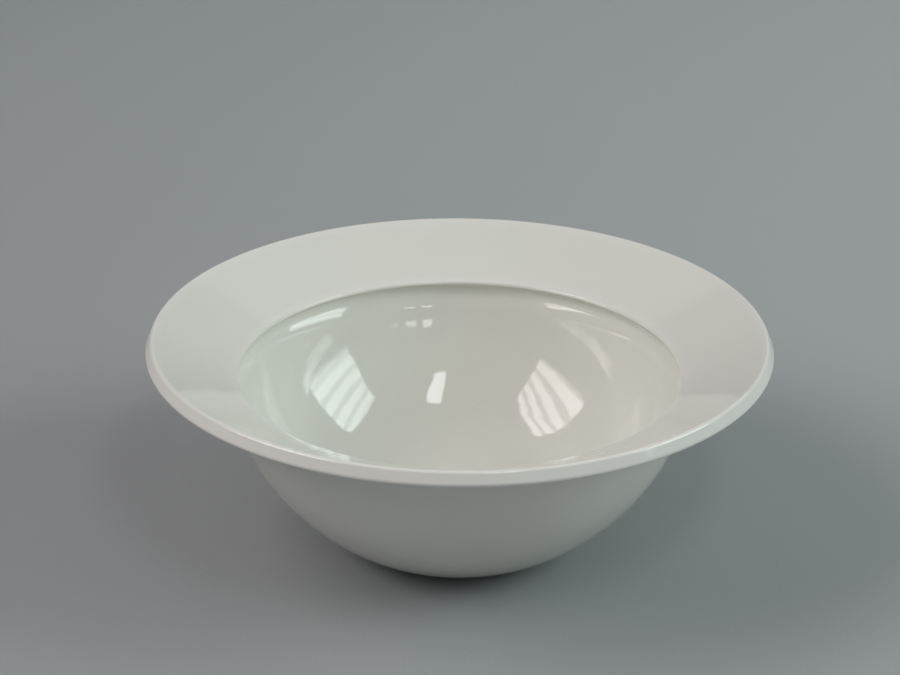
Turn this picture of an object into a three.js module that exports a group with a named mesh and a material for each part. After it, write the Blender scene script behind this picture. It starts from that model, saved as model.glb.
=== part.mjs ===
// A round porcelain serving dish: a spherical well under a broad rim that rises outward to a thick,
// rounded edge, on a low standing ring. Three sections of fired clay meet on level faces, one coat of glaze
// runs over all of them down to the bare foot, and a second one lines the recess inside the foot.
//
// Millimetres, +Z up. The dish stands on the plane z = 0 and the Z axis is its axis. Profiles are drawn
// as (radius, height) pairs. Sizes are taken over the glaze, apart from the foot's, which is bare clay.
import * as THREE from "three";

// Rim
const RIM_DIAMETER = 240; // across its widest circle
const DISH_HEIGHT = 86; // from the standing plane to the highest circle of the rim
const RIM_SLOPE_DEGREES = 26.3; // how steeply it rises outward
const RIM_THICKNESS = 5.8; // square to the slope
const EDGE_ROUNDING = 1.3; // upper and lower corner of the outer edge
const UNDER_RIM_FILLET = 3; // where its underside runs into the well
const RIM_SEAT_DROP = 0.6; // level seat on the well's top edge, below the fillet and the flare

// Lip: the inner edge of the rim, which stands in past the wall of the well and shades it. The wall flares
// outward towards it and ends in a cove under it.
const LIP_OVERHANG = 1.5;
const LIP_ROUNDING = 1;
const COVE_RADIUS = 5.5;
const FLARE_RADIUS = 16; // bend at which the wall leaves the sphere
const FLARE_BAND = 11.2; // from that bend up to the lip, along the sphere

// Well
const WELL_RADIUS = 92.3; // outside of the sphere
const WALL_THICKNESS = 4.6;
const BASE_THICKNESS = 5.6; // from the middle of the floor to the roof of the recess
const FLOOR_CURVE_RADIUS = 300; // the floor is dished a little
const FLOOR_BLEND_RADIUS = 40; // between the floor and the spherical wall

// Foot
const FOOT_DIAMETER = 77; // where the sphere would meet the standing plane
const FOOT_OUTER_ROUNDING = 3;
const STANDING_WIDTH = 3.2; // flat face that the dish stands on
const FOOT_INNER_ROUNDING = 0.8;
const RECESS_DEPTH = 2.4;
const RECESS_WALL_DEGREES = 65; // steepness of the recess's wall

// Glaze
const GLAZE_THICKNESS = 0.4;
const GLAZE_BOND_GAP = 0.02; // between the back of the glaze and the clay
const GLAZE_LINE_HEIGHT = 1; // the glaze stops here, above the standing plane

// Facets: steps round the axis, and steps along each arc of the profile
const TURN_STEPS = 56;
const FLOOR_STEPS = 2;
const BLEND_STEPS = 4;
const WALL_STEPS = 5;
const FLARE_STEPS = 2;
const COVE_STEPS = 3;
const LIP_STEPS = 3;
const CORNER_STEPS = 3;
const FILLET_STEPS = 2;
const OUTSIDE_STEPS = 6;
const FOOT_CORNER_STEPS = 2;

// Depths under the face of the glaze
const GLAZE_FACE = 0;
const GLAZE_BACK = GLAZE_THICKNESS;
const CLAY_FACE = GLAZE_THICKNESS + GLAZE_BOND_GAP;

const DOWN = -Math.PI / 2;
const RIM_SLOPE = THREE.MathUtils.degToRad(RIM_SLOPE_DEGREES);
const ABOVE_RIM = RIM_SLOPE + Math.PI / 2;
const BELOW_RIM = RIM_SLOPE - Math.PI / 2;

function point(radius, height) {
  return new THREE.Vector2(radius, height);
}

function polar(centre, radius, angle) {
  return point(centre.x + radius * Math.cos(angle), centre.y + radius * Math.sin(angle));
}

// Direction from one point to another, as an angle from the outward radius.
function bearing(from, to) {
  return Math.atan2(to.y - from.y, to.x - from.x);
}

function arc(centre, radius, fromAngle, toAngle, steps) {
  const step = (toAngle - fromAngle) / steps;
  return Array.from({ length: steps + 1 }, (_, i) => polar(centre, radius, fromAngle + i * step));
}

// One run of points from stretches that each begin where the last one ends.
function joined(...stretches) {
  return stretches.flatMap((stretch, i) => (i === 0 ? stretch : stretch.slice(1)));
}

// Where a line that starts outside a circle first meets it.
function lineMeetsCircle(start, angle, centre, radius) {
  const along = polar(point(0, 0), 1, angle);
  const offset = start.clone().sub(centre);
  const nearest = -offset.dot(along);
  const halfChord = Math.sqrt(radius ** 2 - offset.lengthSq() + nearest ** 2);
  return start.clone().addScaledVector(along, nearest - halfChord);
}

// The crossing of two circles that lies to the right of the line from the first centre to the second.
function circlesMeet(centreA, radiusA, centreB, radiusB) {
  const distance = centreA.distanceTo(centreB);
  const along = (distance ** 2 + radiusA ** 2 - radiusB ** 2) / (2 * distance);
  const turn = Math.acos(along / radiusA);
  return polar(centreA, radiusA, bearing(centreA, centreB) - turn);
}

// Centres of the profile's arcs. Each arc touches its neighbours, at every depth under the glaze's face.
const clayRadius = WELL_RADIUS - CLAY_FACE;
const insideRadius = WELL_RADIUS - WALL_THICKNESS;
const wellCentre = point(0, Math.sqrt(clayRadius ** 2 - (FOOT_DIAMETER / 2) ** 2));

const edgeFaceWidth = RIM_THICKNESS - 2 * EDGE_ROUNDING;
const upperEdgeCentre = point(
  RIM_DIAMETER / 2 - EDGE_ROUNDING - edgeFaceWidth * Math.sin(RIM_SLOPE),
  DISH_HEIGHT - EDGE_ROUNDING,
);
const lowerEdgeCentre = polar(upperEdgeCentre, edgeFaceWidth, BELOW_RIM);

const lipCentre = lineMeetsCircle(
  polar(upperEdgeCentre, EDGE_ROUNDING - LIP_ROUNDING, ABOVE_RIM),
  RIM_SLOPE + Math.PI,
  wellCentre,
  insideRadius - LIP_OVERHANG + LIP_ROUNDING,
);
const flareStart = bearing(wellCentre, lipCentre) - FLARE_BAND / insideRadius;
const flareCentre = polar(wellCentre, insideRadius + FLARE_RADIUS, flareStart);
const coveCentre = circlesMeet(
  lipCentre,
  LIP_ROUNDING + COVE_RADIUS,
  flareCentre,
  FLARE_RADIUS + COVE_RADIUS,
);
const filletCentre = lineMeetsCircle(
  polar(lowerEdgeCentre, EDGE_ROUNDING + UNDER_RIM_FILLET, BELOW_RIM),
  RIM_SLOPE + Math.PI,
  wellCentre,
  WELL_RADIUS + UNDER_RIM_FILLET,
);

const floorHeight = RECESS_DEPTH + BASE_THICKNESS;
const floorCentre = point(0, floorHeight + FLOOR_CURVE_RADIUS);
const blendCentre = circlesMeet(
  wellCentre,
  insideRadius - FLOOR_BLEND_RADIUS,
  floorCentre,
  FLOOR_CURVE_RADIUS - FLOOR_BLEND_RADIUS,
);

const footOuterCentre = point(
  Math.sqrt((clayRadius - FOOT_OUTER_ROUNDING) ** 2 - (wellCentre.y - FOOT_OUTER_ROUNDING) ** 2),
  FOOT_OUTER_ROUNDING,
);
const footInnerCentre = point(footOuterCentre.x - STANDING_WIDTH, FOOT_INNER_ROUNDING);
const recessWallSlope = THREE.MathUtils.degToRad(RECESS_WALL_DEGREES);
const FACING_RECESS = -Math.PI / 2 - recessWallSlope;

// Bearings from the well's centre at which the clay sphere reaches a height
function insideBearing(height) {
  return Math.asin((height - wellCentre.y) / (insideRadius + CLAY_FACE));
}

function outsideBearing(height) {
  return Math.asin((height - wellCentre.y) / clayRadius);
}

// Where the clay sections meet: the rim's seat on the well, and the foot ring under the base
const filletBearing = bearing(wellCentre, filletCentre);
const seatHeight = Math.min(
  polar(wellCentre, insideRadius + CLAY_FACE, flareStart).y,
  polar(wellCentre, clayRadius, filletBearing).y,
) - RIM_SEAT_DROP;
const recessRoofHeight = RECESS_DEPTH + CLAY_FACE;

// The inside of the well at a depth under the glaze's face, from the axis up to the rim's seat.
function wellInside(depth) {
  const floorEnd = bearing(floorCentre, blendCentre);
  const blendEnd = bearing(wellCentre, blendCentre);
  return joined(
    arc(floorCentre, FLOOR_CURVE_RADIUS + depth, DOWN, floorEnd, FLOOR_STEPS),
    arc(blendCentre, FLOOR_BLEND_RADIUS + depth, floorEnd, blendEnd, BLEND_STEPS),
    arc(wellCentre, insideRadius + depth, blendEnd, insideBearing(seatHeight), WALL_STEPS),
  );
}

// The rim at a depth under the glaze's face: flare, cove, lip, top, outer edge, underside and fillet,
// with the short stretches of the sphere between them and the seat.
function rimSurface(depth) {
  const flareEnd = bearing(flareCentre, coveCentre);
  const coveEnd = bearing(coveCentre, lipCentre);
  const filletEnd = bearing(filletCentre, wellCentre);
  return [
    polar(wellCentre, insideRadius + depth, insideBearing(seatHeight)),
    ...arc(flareCentre, FLARE_RADIUS - depth, flareStart + Math.PI, flareEnd, FLARE_STEPS),
    ...arc(coveCentre, COVE_RADIUS + depth, flareEnd - Math.PI, coveEnd, COVE_STEPS).slice(1),
    ...arc(lipCentre, LIP_ROUNDING - depth, coveEnd + Math.PI, ABOVE_RIM, LIP_STEPS).slice(1),
    ...arc(upperEdgeCentre, EDGE_ROUNDING - depth, ABOVE_RIM, RIM_SLOPE, CORNER_STEPS),
    ...arc(lowerEdgeCentre, EDGE_ROUNDING - depth, RIM_SLOPE, BELOW_RIM, CORNER_STEPS),
    ...arc(filletCentre, UNDER_RIM_FILLET + depth, ABOVE_RIM, filletEnd, FILLET_STEPS),
    polar(wellCentre, WELL_RADIUS - depth, outsideBearing(seatHeight)),
  ];
}

// The outside of the well at a depth under the glaze's face, from the rim's seat down to the foot ring.
function wellOutside(depth) {
  const start = outsideBearing(seatHeight);
  const end = outsideBearing(recessRoofHeight);
  return arc(wellCentre, WELL_RADIUS - depth, start, end, OUTSIDE_STEPS);
}

// The glazed flank of the foot ring at a depth under the glaze's face, down to the glaze line.
function footFlank(depth) {
  const start = outsideBearing(recessRoofHeight);
  const end = outsideBearing(GLAZE_LINE_HEIGHT);
  return arc(wellCentre, WELL_RADIUS - depth, start, end, 1);
}

// The recess at a depth under the glaze's face: its wall at the glaze line and at the roof.
function recessSurface(depth) {
  const glazeLine = recessWall(CLAY_FACE, GLAZE_LINE_HEIGHT);
  return [
    polar(glazeLine, CLAY_FACE - depth, FACING_RECESS),
    recessWall(depth, RECESS_DEPTH + depth),
  ];
}

// The point of the recess's wall at a depth under the glaze's face that lies at a height.
function recessWall(depth, height) {
  const start = polar(footInnerCentre, FOOT_INNER_ROUNDING + CLAY_FACE - depth, FACING_RECESS);
  return point(start.x - (height - start.y) / Math.tan(recessWallSlope), height);
}

// Clay section: the wall and floor of the well, with a level top edge that carries the rim.
function wellWall() {
  return [
    ...wellInside(CLAY_FACE),
    ...wellOutside(CLAY_FACE),
    recessWall(CLAY_FACE, recessRoofHeight),
    point(0, recessRoofHeight),
  ];
}

// Clay section: the cone ring with its flared throat, its lip, its edge and the fillet over the well.
function rimFlange() {
  const surface = rimSurface(CLAY_FACE);
  return [...surface, surface[0]];
}

// Clay section: the standing ring under the base.
function footRing() {
  const outerCorner = bearing(wellCentre, footOuterCentre);
  const ring = [
    ...footFlank(CLAY_FACE),
    ...arc(footOuterCentre, FOOT_OUTER_ROUNDING, outerCorner, DOWN, FOOT_CORNER_STEPS),
    ...arc(footInnerCentre, FOOT_INNER_ROUNDING, DOWN, FACING_RECESS, FOOT_CORNER_STEPS),
    ...recessSurface(CLAY_FACE),
  ];
  return [...ring, ring[0]];
}

// Glaze from the middle of the floor, over the rim and down to the foot, closed by its own back.
function glazeCoat() {
  const skin = (depth) =>
    joined(wellInside(depth), rimSurface(depth), wellOutside(depth), footFlank(depth));
  return [...skin(GLAZE_FACE), ...skin(GLAZE_BACK).reverse()];
}

// Glaze on the roof and wall of the recess.
function recessGlaze() {
  return [
    point(0, RECESS_DEPTH + GLAZE_BACK),
    ...recessSurface(GLAZE_BACK).reverse(),
    ...recessSurface(GLAZE_FACE),
    point(0, RECESS_DEPTH),
  ];
}

function glazeMaterial() {
  return new THREE.MeshStandardMaterial({ color: 0xdfe2da, roughness: 0.12, metalness: 0 });
}

function clayMaterial() {
  return new THREE.MeshStandardMaterial({ color: 0xe9e2d5, roughness: 0.85, metalness: 0 });
}

// Profiles run outward over the top and back underneath, and a lathe faces out when it runs the other way.
function turned(name, profile, material) {
  const lathe = new THREE.LatheGeometry(profile.toReversed(), TURN_STEPS);
  const mesh = new THREE.Mesh(lathe, material);
  mesh.name = name;
  return mesh;
}

const dish = new THREE.Group();
dish.rotation.x = Math.PI / 2; // profiles are turned about Y, and the dish stands along Z
dish.add(
  turned("well_wall", wellWall(), clayMaterial()),
  turned("rim_flange", rimFlange(), clayMaterial()),
  turned("foot_ring", footRing(), clayMaterial()),
  turned("glaze_coat", glazeCoat(), glazeMaterial()),
  turned("recess_glaze", recessGlaze(), glazeMaterial()),
);

export default dish;
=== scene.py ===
# Looks of the round porcelain serving dish: each clay and glaze section as a finely turned mesh,
# their materials, a pale studio sweep, soft panels of light and the camera.
#
# Metres, +Z up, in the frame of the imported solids. A profile's points are complex numbers,
# radius + height * 1j, and its sizes are those of the solids. Only the cove under the lip is
# tighter and the flare below it wider, which keeps the dark line under the lip narrow and moves the
# surface by less than 0.4 mm.
import cmath
import math
from collections import namedtuple
from itertools import accumulate, chain, pairwise

import bpy
from mathutils import Matrix, Vector


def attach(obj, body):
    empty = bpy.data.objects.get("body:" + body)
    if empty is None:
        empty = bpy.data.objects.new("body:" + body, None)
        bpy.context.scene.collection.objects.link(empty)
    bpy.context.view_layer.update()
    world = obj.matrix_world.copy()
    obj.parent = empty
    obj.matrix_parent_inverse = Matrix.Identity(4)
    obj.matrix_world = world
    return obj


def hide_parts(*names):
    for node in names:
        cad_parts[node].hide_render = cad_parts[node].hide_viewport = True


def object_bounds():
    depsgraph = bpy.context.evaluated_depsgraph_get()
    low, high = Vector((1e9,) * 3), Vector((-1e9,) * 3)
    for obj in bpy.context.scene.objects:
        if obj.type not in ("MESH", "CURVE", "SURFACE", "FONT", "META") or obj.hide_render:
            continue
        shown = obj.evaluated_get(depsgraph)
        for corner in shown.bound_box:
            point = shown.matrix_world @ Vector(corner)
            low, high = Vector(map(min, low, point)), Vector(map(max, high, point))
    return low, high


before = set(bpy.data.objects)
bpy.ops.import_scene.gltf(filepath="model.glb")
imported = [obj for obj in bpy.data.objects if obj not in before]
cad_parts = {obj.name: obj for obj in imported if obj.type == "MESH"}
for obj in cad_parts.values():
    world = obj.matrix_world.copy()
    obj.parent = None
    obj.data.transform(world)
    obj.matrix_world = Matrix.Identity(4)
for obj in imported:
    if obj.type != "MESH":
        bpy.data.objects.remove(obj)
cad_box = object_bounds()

MM = 0.001

# Rim
RIM_DIAMETER = cad_box[1].x - cad_box[0].x
DISH_HEIGHT = cad_box[1].z
RIM_SLOPE = math.radians(26.3)
RIM_THICKNESS = 5.8 * MM
EDGE_ROUNDING = 1.3 * MM
UNDER_RIM_FILLET = 3 * MM
RIM_SEAT_DROP = 0.6 * MM  # from the end of the flare or the fillet down to the joint with the well

# Lip, and the cove below it, towards which the wall of the well flares
LIP_OVERHANG = 1.5 * MM
LIP_ROUNDING = 1 * MM
COVE_RADIUS = 4 * MM
FLARE_RADIUS = 20 * MM
FLARE_BAND = 11.2 * MM  # along the wall, from the start of the flare up to the lip

# Well
WELL_RADIUS = 92.3 * MM  # of its outside
WALL_THICKNESS = 4.6 * MM
BASE_THICKNESS = 5.6 * MM
FLOOR_CURVE_RADIUS = 300 * MM
FLOOR_BLEND_RADIUS = 40 * MM

# Foot
FOOT_DIAMETER = 77 * MM  # where the clay of the well would reach the ground
FOOT_OUTER_ROUNDING = 3 * MM
STANDING_WIDTH = 3.2 * MM
FOOT_INNER_ROUNDING = 0.8 * MM
RECESS_DEPTH = 2.4 * MM
RECESS_WALL = math.radians(65)  # steepness
RECESS_CORNER = 0.9 * MM

# Glaze
GLAZE_THICKNESS = 0.4 * MM
GLAZE_BOND_GAP = 0.02 * MM
GLAZE_LINE_HEIGHT = 1 * MM
GLAZE_LINE_WAVES = (  # number round the foot, height and shift of each wave
    (3, 0.10 * MM, 0.4),
    (7, 0.06 * MM, 2.1),
    (17, 0.03 * MM, 5.0),
)
GLAZE_ROLL = 0.12 * MM  # how far the glaze swells just above its end
GLAZE_ROLL_DISTANCE = 1.2 * MM  # from the end to where it swells most
GLAZE_ROLL_NARROWNESS = 2
TURNING_LINE_DEPTH = 0.03 * MM
TURNING_LINE_PITCH = 2.6 * MM
POOLING_LENGTH = 1.6 * MM  # over which glaze evens out along the profile
POOLING_GAIN = 2.2 * MM  # pooling for each unit of the profile's curvature

# Facets
TURN_STEPS = 272
STEP_ANGLE = math.radians(7.5)  # the most that a step of an arc turns
STEP_LENGTH = 2.4 * MM  # the longest step of an arc
LEAST_ARC_STEPS = 2
STRAIGHT_STEP_LENGTH = 1.5 * STEP_LENGTH
SAME_PLACE = 0.002 * MM  # stations closer than this are one
ROLL_TOP_HEIGHT = 4 * MM  # where the fine steps down to the rolled end begin
ROLL_STEPS = 24
ROLL_BACK_STEPS = 4
RECESS_WALL_STEPS = 10
RECESS_ROOF_STEPS = 110

# Surface of the glaze
GLAZE_FLOW = "glaze_flow"  # mesh attribute: how far glaze pools or runs thin
GLAZE_LIGHT = (0.727, 0.722, 0.669, 1)
GLAZE_DEEP = (0.707, 0.708, 0.648, 1)
GLAZE_THIN = (0.755, 0.74, 0.70, 1)
GLAZE_POOLED = (0.695, 0.702, 0.64, 1)
GLAZE_CLOUD_SIZE = 45 * MM
GLAZE_IOR = 1.52
GLOSS_ROUGHNESS = (0.045, 0.06)
GLOSS_PATCH_SIZE = 14 * MM
WAVE_SIZE = 4.5 * MM
WAVE_HEIGHT = 0.038 * MM
PEEL_SIZE = 1.6 * MM
PEEL_HEIGHT = 0.0016 * MM
PINHOLE = (0.45, 0.40, 0.33, 1)
PINHOLE_SPACING = 9 * MM
PINHOLE_RADIUS = 0.16 * MM
PINHOLE_SHARE = 0.10  # of the places for one that have one
PINHOLE_STRENGTH = 0.35
PINHOLE_DEPTH = 0.03 * MM

# Surface of the bare clay
CLAY_LIGHT = (0.78, 0.75, 0.69, 1)
CLAY_DARK = (0.70, 0.66, 0.60, 1)
CLAY_PATCH_SIZE = 6 * MM
CLAY_ROUGHNESS = 0.86
CLAY_IOR = 1.5
FLASH = (0.72, 0.56, 0.42, 1)
FLASH_BASE_HEIGHT = 0.2 * MM  # from which it comes up towards the glaze line
FLASH_STRENGTH = 0.55
SPECK = (0.25, 0.20, 0.16, 1)
SPECK_SPACING = 2.2 * MM
SPECK_RADIUS = 0.12 * MM
SPECK_SHARE = 0.22
SPECK_STRENGTH = 0.6
GRIT_SIZE = 0.5 * MM
GRIT_HEIGHT = 0.05 * MM
GRIT_HARSHNESS = 0.65  # how strong its finest grains are

NOISE_SPAN = (0.3, 0.7)  # between which nearly all of a noise texture lies

# Sweep of paper. Along a span, one tone of it changes into another: painted light behind the dish
# and on its right, painted shade high up in front of it.
SWEEP_FLAT_RADIUS = 1.6
SWEEP_BEND_RADIUS = 0.7
SWEEP_HEIGHT = 1.9
SWEEP_TURN_STEPS = 96
SWEEP_BEND_STEPS = 12
PAPER_LIGHT = (0.338, 0.354, 0.364, 1)
PAPER_DARK = (0.322, 0.337, 0.347, 1)
PAPER_MOTTLE_SIZE = 1.1 * MM
PAPER_TOOTH_SIZE = 0.9 * MM
PAPER_TOOTH_HEIGHT = 0.04 * MM
PAPER_ROUGHNESS = 0.9
# painted light: the paper is lighter behind the dish and on its right
LIT_PAPER = (0.5, 0.525, 0.54, 1)
LIT_SIDEWAYS = 0.5  # how much a step to the right counts beside a step back
LIT_SPAN = (0, 0.9)
# painted shade: the paper is darker high up in front of the dish
PAINTED_SHADE_IN_FRONT = (0.15, 0.155, 0.16, 1)
FRONT_SPAN = (-0.4, -2)
FRONT_HEIGHT_SPAN = (0.2, 1.1)

# Light. A panel's brightness is the light that leaves it in each direction.
Panel = namedtuple("Panel", "centre across up size brightness colour")
COOL_LIGHT = (0.86, 1.0, 0.97)
WARM_LIGHT = (1.0, 0.93, 0.92)
LAMP_LIGHT = (0.97, 1, 1)
WHITE_LIGHT = (1, 1, 1)
RIGHT_ACROSS = (0.044, -0.996, 0.077)
RIGHT_UP = (-0.131, 0.071, 0.989)
RIGHT_PANEL = Panel(
    centre=(1.801, -0.188, 1.249),
    across=RIGHT_ACROSS,
    up=RIGHT_UP,
    size=(1.191, 1.072),
    brightness=6.5,
    colour=COOL_LIGHT,
)
RIGHT_GLOW = Panel(
    centre=(1.881, -0.232, 0.64),
    across=RIGHT_ACROSS,
    up=RIGHT_UP,
    size=(1.191, 0.16),
    brightness=5.6,
    colour=COOL_LIGHT,
)
LEFT_PANEL = Panel(
    centre=(-1.396, -0.609, 1.587),
    across=(0.313, 0.905, -0.29),
    up=(0.231, 0.224, 0.947),
    size=(1.806, 1.242),
    brightness=6.2,
    colour=WARM_LIGHT,
)
FRONT_LAMP = Panel(
    centre=(0.275, -0.806, 1.112),
    across=(0.062, 0.983, 0.174),
    up=(0.98, -0.093, 0.178),
    size=(0.456, 0.186),
    brightness=7.6,
    colour=LAMP_LIGHT,
)
SMALL_LAMPS = {  # centre, size and brightness of each
    "small_lamp_right": ((0.571, -1.749, 0.609), (0.134, 0.15), 5.2),
    "small_lamp_middle": ((0.855, -1.642, 0.568), (0.185, 0.115), 4.2),
    "small_lamp_left": ((1.103, -1.498, 0.548), (0.12, 0.07), 1.8),
}
PANEL_BARS = 4
RIGHT_GAP_STRENGTH = 0.55
LEFT_GAP_STRENGTH = 0.38
BAR_EDGE = (-0.1, 0.85)  # values of a wave between which a bar gives way to a gap
GLOW_FADE = (0.1, 1)  # shares of the glow's height where it begins and where it is brightest
ROOM_COLOUR = (1.0, 0.985, 0.995, 1)
ROOM_IN_FRONT = 0.04
ROOM_BEHIND = 0.5

# Camera: millimetres for the lens, radians for the angles
CAMERA_LENS = 100
CAMERA_SENSOR_WIDTH = 36
CAMERA_PLACE = Vector((0, -0.8755, 0.4769))
CAMERA_PITCH = 0.4227
CAMERA_YAW = -0.00425
CAMERA_ROLL = 0.00635

# Depths under the face of the glaze
GLAZE_FACE = 0
GLAZE_BACK = GLAZE_THICKNESS
CLAY_FACE = GLAZE_THICKNESS + GLAZE_BOND_GAP

# Bearings
UP = math.pi / 2
DOWN = -math.pi / 2
ABOVE_RIM = RIM_SLOPE + UP
BELOW_RIM = RIM_SLOPE + DOWN
FACING_RECESS = DOWN - RECESS_WALL

# A place on a profile and the direction that the surface faces there.
Station = namedtuple("Station", "point facing")


def polar(centre, radius, angle):
    return centre + cmath.rect(radius, angle)


def bearing(start, end):
    return cmath.phase(end - start)


def arc_bearings(radius, start, end, steps):
    """The bearings of an arc's points, from one to another.

    Without a number of steps, it comes from the arc's size at the glaze's face, so that the arc's
    points at other depths have the same bearings.
    """
    turn = abs(end - start)
    steps = steps or max(
        math.ceil(turn / STEP_ANGLE),
        math.ceil(turn * radius / STEP_LENGTH),
        LEAST_ARC_STEPS,
    )
    return [start + (end - start) * i / steps for i in range(steps + 1)]


def hollow(centre, radius, depth, start, end, steps=None):
    """An arc whose surface faces its centre, at a depth under a glaze's face of that radius."""
    return [
        Station(polar(centre, radius + depth, angle), -cmath.rect(1, angle))
        for angle in arc_bearings(radius, start, end, steps)
    ]


def rounded(centre, radius, depth, start, end, steps=None):
    """An arc whose surface faces away from its centre, at a depth under a face of that radius."""
    return [
        Station(polar(centre, radius - depth, angle), cmath.rect(1, angle))
        for angle in arc_bearings(radius, start, end, steps)
    ]


def divided(first, last, steps):
    """Stations in equal steps from one to another."""
    run = last.point - first.point
    turn = last.facing - first.facing
    return [
        Station(first.point + run * i / steps, first.facing + turn * i / steps)
        for i in range(steps + 1)
    ]


def joined(*stretches):
    """One profile from stretches, without stations that repeat and with straight runs divided."""
    stations = []
    for station in chain.from_iterable(stretches):
        if not stations:
            stations.append(station)
            continue
        length = abs(station.point - stations[-1].point)
        if length >= SAME_PLACE:
            steps = math.ceil(length / STRAIGHT_STEP_LENGTH)
            stations += [*divided(stations[-1], station, steps)[1:-1], station]
    return stations


def line_meets_circle(start, angle, centre, radius):
    """Where a line that starts outside a circle first meets it."""
    along = cmath.rect(1, angle)
    offset = start - centre
    nearest = -(offset * along.conjugate()).real
    half_chord = math.sqrt(radius**2 - abs(offset) ** 2 + nearest**2)
    return start + along * (nearest - half_chord)


def circles_meet(centre_a, radius_a, centre_b, radius_b):
    """The crossing of two circles to the right of the line from the first centre to the second."""
    distance = abs(centre_b - centre_a)
    along = (distance**2 + radius_a**2 - radius_b**2) / (2 * distance)
    return polar(centre_a, radius_a, bearing(centre_a, centre_b) - math.acos(along / radius_a))


# Centres of the profile's arcs. Each arc touches its neighbours, at every depth under the glaze.
clay_radius = WELL_RADIUS - CLAY_FACE
inside_radius = WELL_RADIUS - WALL_THICKNESS
well_centre = 1j * math.sqrt(clay_radius**2 - (FOOT_DIAMETER / 2) ** 2)

edge_face_width = RIM_THICKNESS - 2 * EDGE_ROUNDING
upper_edge_centre = complex(
    RIM_DIAMETER / 2 - EDGE_ROUNDING - edge_face_width * math.sin(RIM_SLOPE),
    DISH_HEIGHT - EDGE_ROUNDING,
)
lower_edge_centre = polar(upper_edge_centre, edge_face_width, BELOW_RIM)
lip_centre = line_meets_circle(
    polar(upper_edge_centre, EDGE_ROUNDING - LIP_ROUNDING, ABOVE_RIM),
    RIM_SLOPE + math.pi,
    well_centre,
    inside_radius - LIP_OVERHANG + LIP_ROUNDING,
)
flare_start = bearing(well_centre, lip_centre) - FLARE_BAND / inside_radius
flare_centre = polar(well_centre, inside_radius + FLARE_RADIUS, flare_start)
cove_centre = circles_meet(
    lip_centre, LIP_ROUNDING + COVE_RADIUS, flare_centre, FLARE_RADIUS + COVE_RADIUS
)
fillet_centre = line_meets_circle(
    polar(lower_edge_centre, EDGE_ROUNDING + UNDER_RIM_FILLET, BELOW_RIM),
    RIM_SLOPE + math.pi,
    well_centre,
    WELL_RADIUS + UNDER_RIM_FILLET,
)
floor_centre = 1j * (RECESS_DEPTH + BASE_THICKNESS + FLOOR_CURVE_RADIUS)
blend_centre = circles_meet(
    well_centre,
    inside_radius - FLOOR_BLEND_RADIUS,
    floor_centre,
    FLOOR_CURVE_RADIUS - FLOOR_BLEND_RADIUS,
)
foot_outer_centre = complex(
    math.sqrt(
        (clay_radius - FOOT_OUTER_ROUNDING) ** 2 - (well_centre.imag - FOOT_OUTER_ROUNDING) ** 2
    ),
    FOOT_OUTER_ROUNDING,
)
foot_inner_centre = complex(foot_outer_centre.real - STANDING_WIDTH, FOOT_INNER_ROUNDING)
recess_roof_height = RECESS_DEPTH + CLAY_FACE


def inside_bearing(height):
    """The bearing from the well's centre at which the clay's inner sphere reaches a height."""
    return math.asin((height - well_centre.imag) / (inside_radius + CLAY_FACE))


def outside_bearing(height):
    """The same for the clay's outer sphere."""
    return math.asin((height - well_centre.imag) / clay_radius)


# The level joint between the rim and the well
fillet_bearing = bearing(well_centre, fillet_centre)
seat_height = min(
    polar(well_centre, inside_radius + CLAY_FACE, flare_start).imag,
    polar(well_centre, clay_radius, fillet_bearing).imag,
) - RIM_SEAT_DROP


def well_inside(depth):
    """The inside of the well at a depth under the glaze's face, from the axis to the rim's seat."""
    floor_end = bearing(floor_centre, blend_centre)
    blend_end = bearing(well_centre, blend_centre)
    return joined(
        hollow(floor_centre, FLOOR_CURVE_RADIUS, depth, DOWN, floor_end),
        hollow(blend_centre, FLOOR_BLEND_RADIUS, depth, floor_end, blend_end),
        hollow(well_centre, inside_radius, depth, blend_end, inside_bearing(seat_height)),
    )


def rim_surface(depth):
    """From the seat over the rim and back: flare, cove, lip, top, edge, underside and fillet."""
    flare_end = bearing(flare_centre, cove_centre)
    cove_end = bearing(cove_centre, lip_centre)
    fillet_end = bearing(fillet_centre, well_centre) % math.tau
    return joined(
        hollow(well_centre, inside_radius, depth, inside_bearing(seat_height), flare_start),
        rounded(flare_centre, FLARE_RADIUS, depth, flare_start + math.pi, flare_end),
        hollow(cove_centre, COVE_RADIUS, depth, flare_end - math.pi, cove_end),
        rounded(lip_centre, LIP_ROUNDING, depth, cove_end + math.pi, ABOVE_RIM),
        rounded(upper_edge_centre, EDGE_ROUNDING, depth, ABOVE_RIM, RIM_SLOPE),
        rounded(lower_edge_centre, EDGE_ROUNDING, depth, RIM_SLOPE, BELOW_RIM),
        hollow(fillet_centre, UNDER_RIM_FILLET, depth, ABOVE_RIM, fillet_end),
        rounded(well_centre, WELL_RADIUS, depth, fillet_bearing, outside_bearing(seat_height)),
    )


def well_outside(depth, height):
    """The outside of the well at a depth under the glaze's face, from the rim's seat to a height."""
    seat, end = outside_bearing(seat_height), outside_bearing(height)
    return rounded(well_centre, WELL_RADIUS, depth, seat, end)


def recess_wall(depth, height):
    """The station of the recess's wall at a depth under the glaze's face that lies at a height."""
    start = polar(foot_inner_centre, FOOT_INNER_ROUNDING + CLAY_FACE - depth, FACING_RECESS)
    point = complex(start.real - (height - start.imag) / math.tan(RECESS_WALL), height)
    return Station(point, cmath.rect(1, FACING_RECESS))


def roof_station(radius, height):
    return Station(complex(radius, height), cmath.rect(1, DOWN))


def glaze_line_wave(turn):
    """How far the glaze's end wanders up and down round the foot."""
    return sum(size * math.sin(count * turn + shift) for count, size, shift in GLAZE_LINE_WAVES)


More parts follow.
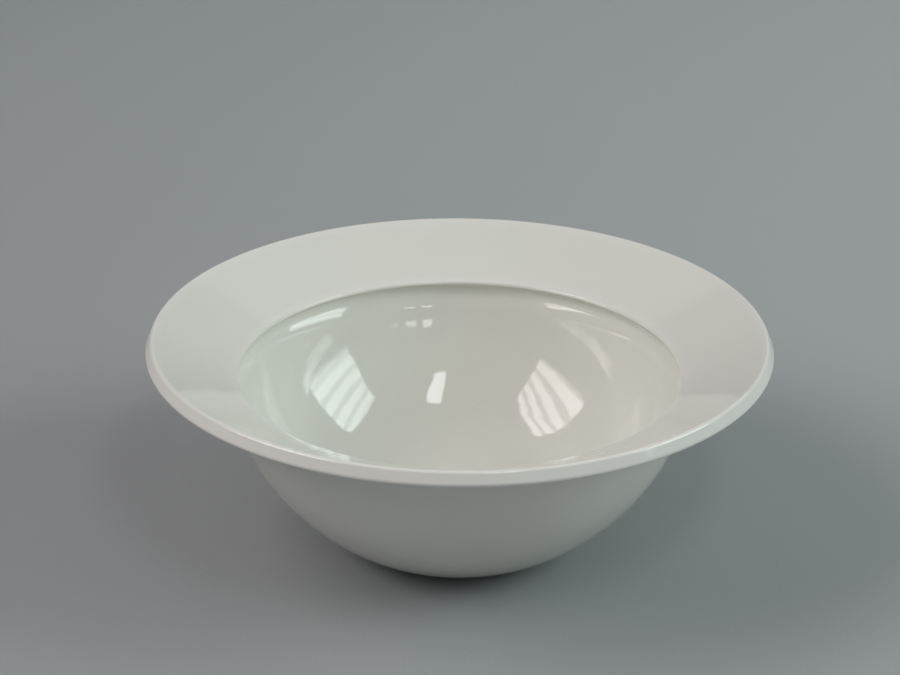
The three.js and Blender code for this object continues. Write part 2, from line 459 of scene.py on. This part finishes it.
def end_depth(distance):
    """How deep the glaze's face lies near its end: rounded over there, and swollen above it."""
    corner = max(0, 1 - distance / GLAZE_THICKNESS)
    swelling = math.exp(-GLAZE_ROLL_NARROWNESS * (distance / GLAZE_ROLL_DISTANCE - 1) ** 2)
    return GLAZE_THICKNESS * (1 - math.sqrt(1 - corner**2)) - GLAZE_ROLL * swelling


def raised(stations, rises):
    """Stations raised along the directions that they face, and facing as the raised surface does."""
    result = []
    for i, station in enumerate(stations):
        before, after = max(i - 1, 0), min(i + 1, len(stations) - 1)
        length = abs(stations[after].point - stations[before].point)
        tilt = complex(1, (rises[after] - rises[before]) / length)
        point = station.point + station.facing * rises[i]
        result.append(Station(point, station.facing * tilt / abs(tilt)))
    return result


def with_rolled_end(stations):
    """A stretch of glaze that ends where its last station is."""
    end = stations[-1].point
    return raised(stations, [-end_depth(abs(station.point - end)) for station in stations])


def turned_over(stations):
    return [Station(station.point, -station.facing) for station in reversed(stations)]


def glaze_coat(turn):
    """Glaze from the middle of the floor, over the rim and down to its end above the bare foot."""
    roll_top = outside_bearing(ROLL_TOP_HEIGHT)
    glaze_end = outside_bearing(GLAZE_LINE_HEIGHT + glaze_line_wave(turn))
    face_end = rounded(well_centre, WELL_RADIUS, GLAZE_FACE, roll_top, glaze_end, ROLL_STEPS)
    back_end = rounded(well_centre, WELL_RADIUS, GLAZE_BACK, roll_top, glaze_end, ROLL_BACK_STEPS)
    face = joined(
        well_inside(GLAZE_FACE),
        rim_surface(GLAZE_FACE),
        well_outside(GLAZE_FACE, ROLL_TOP_HEIGHT),
        with_rolled_end(face_end),
    )
    back = joined(
        well_inside(GLAZE_BACK),
        rim_surface(GLAZE_BACK),
        well_outside(GLAZE_BACK, ROLL_TOP_HEIGHT),
        back_end[:-1],  # the rolled end comes down to the last one
    )
    return face + turned_over(back)


def turning_lines(station):
    """How far shallow lines from the turning tool raise the recess's roof, up to near its corner."""
    radius = station.point.real
    fade = min(1, max(0, (foot_inner_centre.real - radius) / TURNING_LINE_PITCH - 1))
    return -TURNING_LINE_DEPTH * fade * math.cos(math.tau * radius / TURNING_LINE_PITCH)


def recess_glaze(turn):
    """Glaze on the wall and roof of the recess, with a soft corner between them."""
    corner = recess_wall(GLAZE_FACE - RECESS_CORNER, RECESS_DEPTH - RECESS_CORNER).point
    wall_top_height = RECESS_DEPTH - RECESS_CORNER * (1 - math.cos(RECESS_WALL))
    wall = divided(
        recess_wall(GLAZE_FACE, wall_top_height),
        recess_wall(GLAZE_FACE, GLAZE_LINE_HEIGHT - glaze_line_wave(turn)),
        RECESS_WALL_STEPS,
    )
    roof = divided(
        roof_station(corner.real, RECESS_DEPTH), roof_station(0, RECESS_DEPTH), RECESS_ROOF_STEPS
    )
    face = joined(
        reversed(with_rolled_end(wall)),
        hollow(corner, RECESS_CORNER, GLAZE_FACE, FACING_RECESS + math.pi, UP),
        raised(roof, [turning_lines(station) for station in roof]),
    )
    back = joined(
        [Station(complex(0, RECESS_DEPTH + GLAZE_BACK), 1j)],
        [recess_wall(GLAZE_BACK, RECESS_DEPTH + GLAZE_BACK)],
    )
    return back + face


def well_wall(_turn):
    """Clay: the wall and floor of the well, with a level top edge that carries the rim."""
    return joined(
        well_inside(CLAY_FACE),
        well_outside(CLAY_FACE, recess_roof_height),
        [recess_wall(CLAY_FACE, recess_roof_height)],
        [roof_station(0, recess_roof_height)],
    )


def rim_flange(_turn):
    """Clay: the cone ring with the flared band, the lip, the edge and the fillet over the well."""
    return rim_surface(CLAY_FACE)


def foot_ring(_turn):
    """Clay: the standing ring under the base."""
    top, outer_corner = outside_bearing(recess_roof_height), bearing(well_centre, foot_outer_centre)
    return joined(
        rounded(well_centre, WELL_RADIUS, CLAY_FACE, top, outer_corner),
        rounded(foot_outer_centre, FOOT_OUTER_ROUNDING, 0, outer_corner, DOWN),
        rounded(foot_inner_centre, FOOT_INNER_ROUNDING, 0, DOWN, FACING_RECESS),
        [recess_wall(CLAY_FACE, recess_roof_height)],
    )


def pooling(stations):
    """How far glaze pools (up to 1) or runs thin (down to -1) at each station.

    It leaves rounded bends for hollow ones.
    """
    pairs = list(pairwise(stations))
    along = list(accumulate((abs(b.point - a.point) for a, b in pairs), initial=0))
    turns = [0, *(cmath.phase(b.facing / a.facing) for a, b in pairs)]
    result = []
    for place in along:
        weights = [math.exp(-(((at - place) / POOLING_LENGTH) ** 2)) for at in along]
        total_weight = POOLING_LENGTH * math.sqrt(math.pi)
        curvature = sum(turn * weight for turn, weight in zip(turns, weights)) / total_weight
        result.append(max(-1, min(1, curvature * POOLING_GAIN)))
    return result


def spun(value, turn):
    """A profile's point or direction, turned about the Z axis."""
    return Vector((value.real * math.cos(turn), value.real * math.sin(turn), value.imag))


def turned_faces(count, on_axis):
    """Faces between neighbouring turns of a profile, as numbers of its stations.

    They are quads, and triangles where the profile starts and ends on the axis.
    """

    def corner(i, j):
        if on_axis and j in (0, count - 1):
            return j
        return i % TURN_STEPS * count + j % count

    quads = (
        (corner(i, j), corner(i, j + 1), corner(i + 1, j + 1), corner(i + 1, j))
        for i in range(TURN_STEPS)
        for j in range(count - 1 if on_axis else count)
    )
    return [tuple(dict.fromkeys(quad)) for quad in quads]


def added(name, data):
    """A new object in the scene."""
    made = bpy.data.objects.new(name, data)
    bpy.context.scene.collection.objects.link(made)
    return made


def turned(name, profile_at):
    """A mesh turned about the Z axis, with the direction that each station faces as its normal.

    The profile is a function of the turn, and starts and ends on the axis or closes on itself.
    """
    turns = [math.tau * i / TURN_STEPS for i in range(TURN_STEPS)]
    profiles = [profile_at(turn) for turn in turns]
    count = len(profiles[0])
    faces = turned_faces(count, on_axis=abs(profiles[0][0].point.real) < SAME_PLACE)
    used = sorted(set(chain.from_iterable(faces)))
    renumbered = {old: new for new, old in enumerate(used)}
    places = [(station, turn) for turn, profile in zip(turns, profiles) for station in profile]
    corners = [places[i] for i in used]
    mesh = bpy.data.meshes.new(name)
    mesh.from_pydata(
        [spun(station.point, turn) for station, turn in corners],
        [],
        [[renumbered[i] for i in face] for face in faces],
    )
    mesh.shade_smooth()
    mesh.normals_split_custom_set_from_vertices(
        [spun(station.facing, turn).normalized() for station, turn in corners]
    )
    flow = pooling(profiles[0])
    attribute = mesh.attributes.new(GLAZE_FLOW, "FLOAT", "POINT")
    attribute.data.foreach_set("value", [flow[i % count] for i in used])
    return added(name, mesh)


def new_tree(owner):
    """The emptied node tree of a material, light or world."""
    owner.use_nodes = True
    owner.node_tree.nodes.clear()
    return owner.node_tree


def feed(tree, socket, value):
    """Give a node's input a number, a colour or the output of another node."""
    if isinstance(value, bpy.types.NodeSocket):
        tree.links.new(value, socket)
    else:
        socket.default_value = value


def node(tree, kind, inputs=None, **settings):
    made = tree.nodes.new(kind)
    for setting, value in settings.items():
        setattr(made, setting, value)
    for name, value in (inputs or {}).items():
        feed(tree, made.inputs[name], value)
    return made


def axes_of(tree, vector):
    return node(tree, "ShaderNodeSeparateXYZ", {"Vector": vector}).outputs


def mapped(tree, value, low, high, to_low=0, to_high=1):
    """A value that goes from one number to another while the given one goes from low to high."""
    inputs = {
        "Value": value,
        "From Min": low,
        "From Max": high,
        "To Min": to_low,
        "To Max": to_high,
    }
    return node(tree, "ShaderNodeMapRange", inputs).outputs["Result"]


def mixed(tree, factor, first, second):
    made = node(tree, "ShaderNodeMix", data_type="RGBA")
    sockets = {socket.identifier: socket for socket in (*made.inputs, *made.outputs)}
    feed(tree, sockets["Factor_Float"], factor)
    feed(tree, sockets["A_Color"], first)
    feed(tree, sockets["B_Color"], second)
    return sockets["Result_Color"]


def math_of(tree, operation, *operands):
    made = node(tree, "ShaderNodeMath", operation=operation)
    for socket, operand in zip(made.inputs, operands):
        feed(tree, socket, operand)
    return made.outputs["Value"]


def noise_at(tree, place, feature_size, detail, roughness=0.5):
    inputs = {
        "Vector": place,
        "Scale": 1 / feature_size,
        "Detail": detail,
        "Roughness": roughness,
    }
    return node(tree, "ShaderNodeTexNoise", inputs).outputs["Fac"]


def patches(tree, place, size, detail, span=(0, 1)):
    """Soft patches that go from one number to another."""
    return mapped(tree, noise_at(tree, place, size, detail), *NOISE_SPAN, *span)


def scattered(tree, place, spacing, spot_radius, share):
    """Spots in a share of the cells of a pattern: 1 in the middle of a spot and 0 outside it."""
    cells = node(tree, "ShaderNodeTexVoronoi", {"Vector": place, "Scale": 1 / spacing}).outputs
    draw = node(tree, "ShaderNodeSeparateColor", {"Color": cells["Color"]}).outputs["Red"]
    chosen = math_of(tree, "LESS_THAN", draw, share)
    spot = mapped(tree, cells["Distance"], spot_radius / spacing, 0)
    return math_of(tree, "MULTIPLY", spot, chosen)


def bump(tree, relief, height, below=None):
    """A bump of a real height, on top of another one."""
    inputs = {"Height": relief, "Distance": height, "Strength": 1}
    if below is not None:
        inputs["Normal"] = below
    return node(tree, "ShaderNodeBump", inputs).outputs["Normal"]


def glaze_surface(tree, place):
    """Glossy, faintly green glaze: warm where thin, deeper in tone in pools, never quite flat."""
    flow = node(tree, "ShaderNodeAttribute", attribute_name=GLAZE_FLOW).outputs["Fac"]
    clouds = patches(tree, place, GLAZE_CLOUD_SIZE, detail=3)
    tone = mixed(tree, clouds, GLAZE_LIGHT, GLAZE_DEEP)
    tone = mixed(tree, mapped(tree, flow, 0, -1), tone, GLAZE_THIN)
    tone = mixed(tree, mapped(tree, flow, 0, 1), tone, GLAZE_POOLED)
    pinholes = scattered(tree, place, PINHOLE_SPACING, PINHOLE_RADIUS, PINHOLE_SHARE)
    tone = mixed(tree, math_of(tree, "MULTIPLY", pinholes, PINHOLE_STRENGTH), tone, PINHOLE)
    waves = bump(tree, noise_at(tree, place, WAVE_SIZE, detail=0), WAVE_HEIGHT)
    peel = bump(tree, noise_at(tree, place, PEEL_SIZE, detail=1), PEEL_HEIGHT, below=waves)
    pits = bump(tree, math_of(tree, "SUBTRACT", 0, pinholes), PINHOLE_DEPTH, below=peel)
    gloss = patches(tree, place, GLOSS_PATCH_SIZE, detail=3, span=GLOSS_ROUGHNESS)
    return {"Base Color": tone, "Roughness": gloss, "IOR": GLAZE_IOR, "Normal": pits}


def clay_surface(tree, place):
    """Bare fired porcelain: matt, faintly sandy, with a warm flash beside the glaze."""
    height = axes_of(tree, place)["Z"]
    tone = mixed(tree, patches(tree, place, CLAY_PATCH_SIZE, detail=4), CLAY_LIGHT, CLAY_DARK)
    flash = mapped(tree, height, FLASH_BASE_HEIGHT, GLAZE_LINE_HEIGHT, 0, FLASH_STRENGTH)
    tone = mixed(tree, flash, tone, FLASH)
    specks = scattered(tree, place, SPECK_SPACING, SPECK_RADIUS, SPECK_SHARE)
    tone = mixed(tree, math_of(tree, "MULTIPLY", specks, SPECK_STRENGTH), tone, SPECK)
    grains = noise_at(tree, place, GRIT_SIZE, detail=4, roughness=GRIT_HARSHNESS)
    grit = bump(tree, grains, GRIT_HEIGHT)
    return {"Base Color": tone, "Roughness": CLAY_ROUGHNESS, "IOR": CLAY_IOR, "Normal": grit}


def paper_surface(tree, place):
    """Grey paper, lighter behind the dish and on its right (painted light), and darker high up in
    front of it (painted shade).
    """
    axes = axes_of(tree, place)
    tone = mixed(tree, patches(tree, place, PAPER_MOTTLE_SIZE, detail=3), PAPER_LIGHT, PAPER_DARK)
    # painted light: lighter behind the dish and on its right
    sideways = math_of(tree, "MULTIPLY", axes["X"], LIT_SIDEWAYS)
    lit = mapped(tree, math_of(tree, "ADD", axes["Y"], sideways), *LIT_SPAN)
    tone = mixed(tree, lit, tone, LIT_PAPER)
    # painted shade: darker high up in front of the dish
    in_front = mapped(tree, axes["Y"], *FRONT_SPAN)
    high_up = mapped(tree, axes["Z"], *FRONT_HEIGHT_SPAN)
    tone = mixed(tree, math_of(tree, "MULTIPLY", in_front, high_up), tone, PAINTED_SHADE_IN_FRONT)
    tooth = bump(tree, noise_at(tree, place, PAPER_TOOTH_SIZE, detail=3), PAPER_TOOTH_HEIGHT)
    return {"Base Color": tone, "Roughness": PAPER_ROUGHNESS, "Normal": tooth}


def new_material(name, surface):
    """A material whose shader takes its inputs from a function of the node tree and the place."""
    material = bpy.data.materials.new(name)
    tree = new_tree(material)
    place = node(tree, "ShaderNodeTexCoord").outputs["Object"]
    shader = node(tree, "ShaderNodeBsdfPrincipled", surface(tree, place))
    node(tree, "ShaderNodeOutputMaterial", {"Surface": shader.outputs["BSDF"]})
    return material


def dress():
    """A fine piece in place of each node. The function of its profile has the node's name."""
    glaze, clay = new_material("glaze", glaze_surface), new_material("bare_clay", clay_surface)
    sections = (
        (well_wall, clay, "bare_clay"),
        (rim_flange, clay, "bare_clay"),
        (foot_ring, clay, "bare_clay"),
        (glaze_coat, glaze, "glaze"),
        (recess_glaze, glaze, "glaze"),
    )
    for profile_at, material, slot in sections:
        node_name = profile_at.__name__
        piece = turned("fine_" + node_name, profile_at)
        piece.data.materials.append(material)
        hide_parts(node_name)
        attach(piece, "root")


def studio_sweep():
    """A level floor that curves up into a wall all round."""
    bend_centre = complex(SWEEP_FLAT_RADIUS, SWEEP_BEND_RADIUS)
    bend = [
        polar(bend_centre, SWEEP_BEND_RADIUS, DOWN + math.pi / 2 * i / SWEEP_BEND_STEPS)
        for i in range(SWEEP_BEND_STEPS + 1)
    ]
    profile = [*bend, complex(SWEEP_FLAT_RADIUS + SWEEP_BEND_RADIUS, SWEEP_HEIGHT)]
    turns = [math.tau * i / SWEEP_TURN_STEPS for i in range(SWEEP_TURN_STEPS)]
    starts = [len(profile) * i for i in range(SWEEP_TURN_STEPS)]
    wall = [
        (start + j, start + j + 1, following + j + 1, following + j)
        for start, following in pairwise([*starts, 0])
        for j in range(len(profile) - 1)
    ]
    mesh = bpy.data.meshes.new("sweep")
    mesh.from_pydata([spun(point, turn) for turn in turns for point in profile], [], [*wall, starts])
    mesh.shade_smooth()
    mesh.materials.append(new_material("sweep_paper", paper_surface))
    sweep = added("sweep", mesh)


def barred(gap_strength):
    """Bright bars with darker gaps between them, as light through cloth over a row of lamps."""

    def strength_at(tree, height):
        wave = math_of(tree, "COSINE", math_of(tree, "MULTIPLY", height, math.tau * PANEL_BARS))
        return mapped(tree, wave, *BAR_EDGE, 1, gap_strength)

    return strength_at


def fading(tree, height):
    """Light that fades out towards the lower end of its panel."""
    return mapped(tree, height, *GLOW_FADE)


def add_panel(name, panel, strength_at=None):
    """A rectangular light. Its strength can be a function of the height on it, from 0 to 1."""
    data = bpy.data.lights.new(name, "AREA")
    data.shape = "RECTANGLE"
    data.size, data.size_y = panel.size
    data.color = panel.colour
    data.energy = panel.brightness * math.pi * panel.size[0] * panel.size[1]
    if strength_at:
        tree = new_tree(data)
        height = axes_of(tree, node(tree, "ShaderNodeNewGeometry").outputs["Parametric"])["Y"]
        emission = node(tree, "ShaderNodeEmission", {"Strength": strength_at(tree, height)})
        node(tree, "ShaderNodeOutputLight", {"Surface": emission.outputs["Emission"]})
    centre = Vector(panel.centre)
    across = Vector(panel.across).normalized()
    away = across.cross(Vector(panel.up)).normalized()
    if away.dot(centre) < 0:
        across, away = -across, -away
    axes = Matrix((across, away.cross(across), away)).transposed()
    added(name, data).matrix_world = Matrix.Translation(centre) @ axes.to_4x4()


def light_studio():
    """A barred panel on each side, a glow under the right one, and lamps in front."""
    add_panel("right_panel", RIGHT_PANEL, barred(RIGHT_GAP_STRENGTH))
    add_panel("right_glow", RIGHT_GLOW, fading)
    add_panel("left_panel", LEFT_PANEL, barred(LEFT_GAP_STRENGTH))
    add_panel("front_lamp", FRONT_LAMP)
    for name, (centre, size, brightness) in SMALL_LAMPS.items():
        across, upright = (-centre[1], centre[0], 0), (0, 0, 1)
        add_panel(name, Panel(centre, across, upright, size, brightness, WHITE_LIGHT))


def surround_with_room():
    """The light of the room, dim in front of the dish and brighter behind it."""
    world = bpy.data.worlds.new("studio")
    tree = new_tree(world)
    direction = node(tree, "ShaderNodeTexCoord").outputs["Generated"]
    strength = mapped(tree, axes_of(tree, direction)["Y"], -1, 1, ROOM_IN_FRONT, ROOM_BEHIND)
    background = node(tree, "ShaderNodeBackground", {"Color": ROOM_COLOUR, "Strength": strength})
    node(tree, "ShaderNodeOutputWorld", {"Surface": background.outputs["Background"]})
    bpy.context.scene.world = world


def place_camera():
    data = bpy.data.cameras.new("camera")
    data.sensor_width = CAMERA_SENSOR_WIDTH
    data.lens = CAMERA_LENS
    camera = added("camera", data)
    ahead = Vector((
        math.sin(CAMERA_YAW) * math.cos(CAMERA_PITCH),
        math.cos(CAMERA_YAW) * math.cos(CAMERA_PITCH),
        -math.sin(CAMERA_PITCH),
    ))
    level = Vector((math.cos(CAMERA_YAW), -math.sin(CAMERA_YAW), 0))
    turned_level = Matrix.Rotation(-CAMERA_ROLL, 3, ahead) @ level
    above = turned_level.cross(ahead)
    axes = Matrix((turned_level, above, -ahead)).transposed()
    camera.matrix_world = Matrix.Translation(CAMERA_PLACE) @ axes.to_4x4()
    bpy.context.scene.camera = camera


place_camera()
light_studio()
surround_with_room()
studio_sweep()
dress()
bpy.context.scene.view_settings.view_transform = "Standard"
bpy.context.view_layer.update()
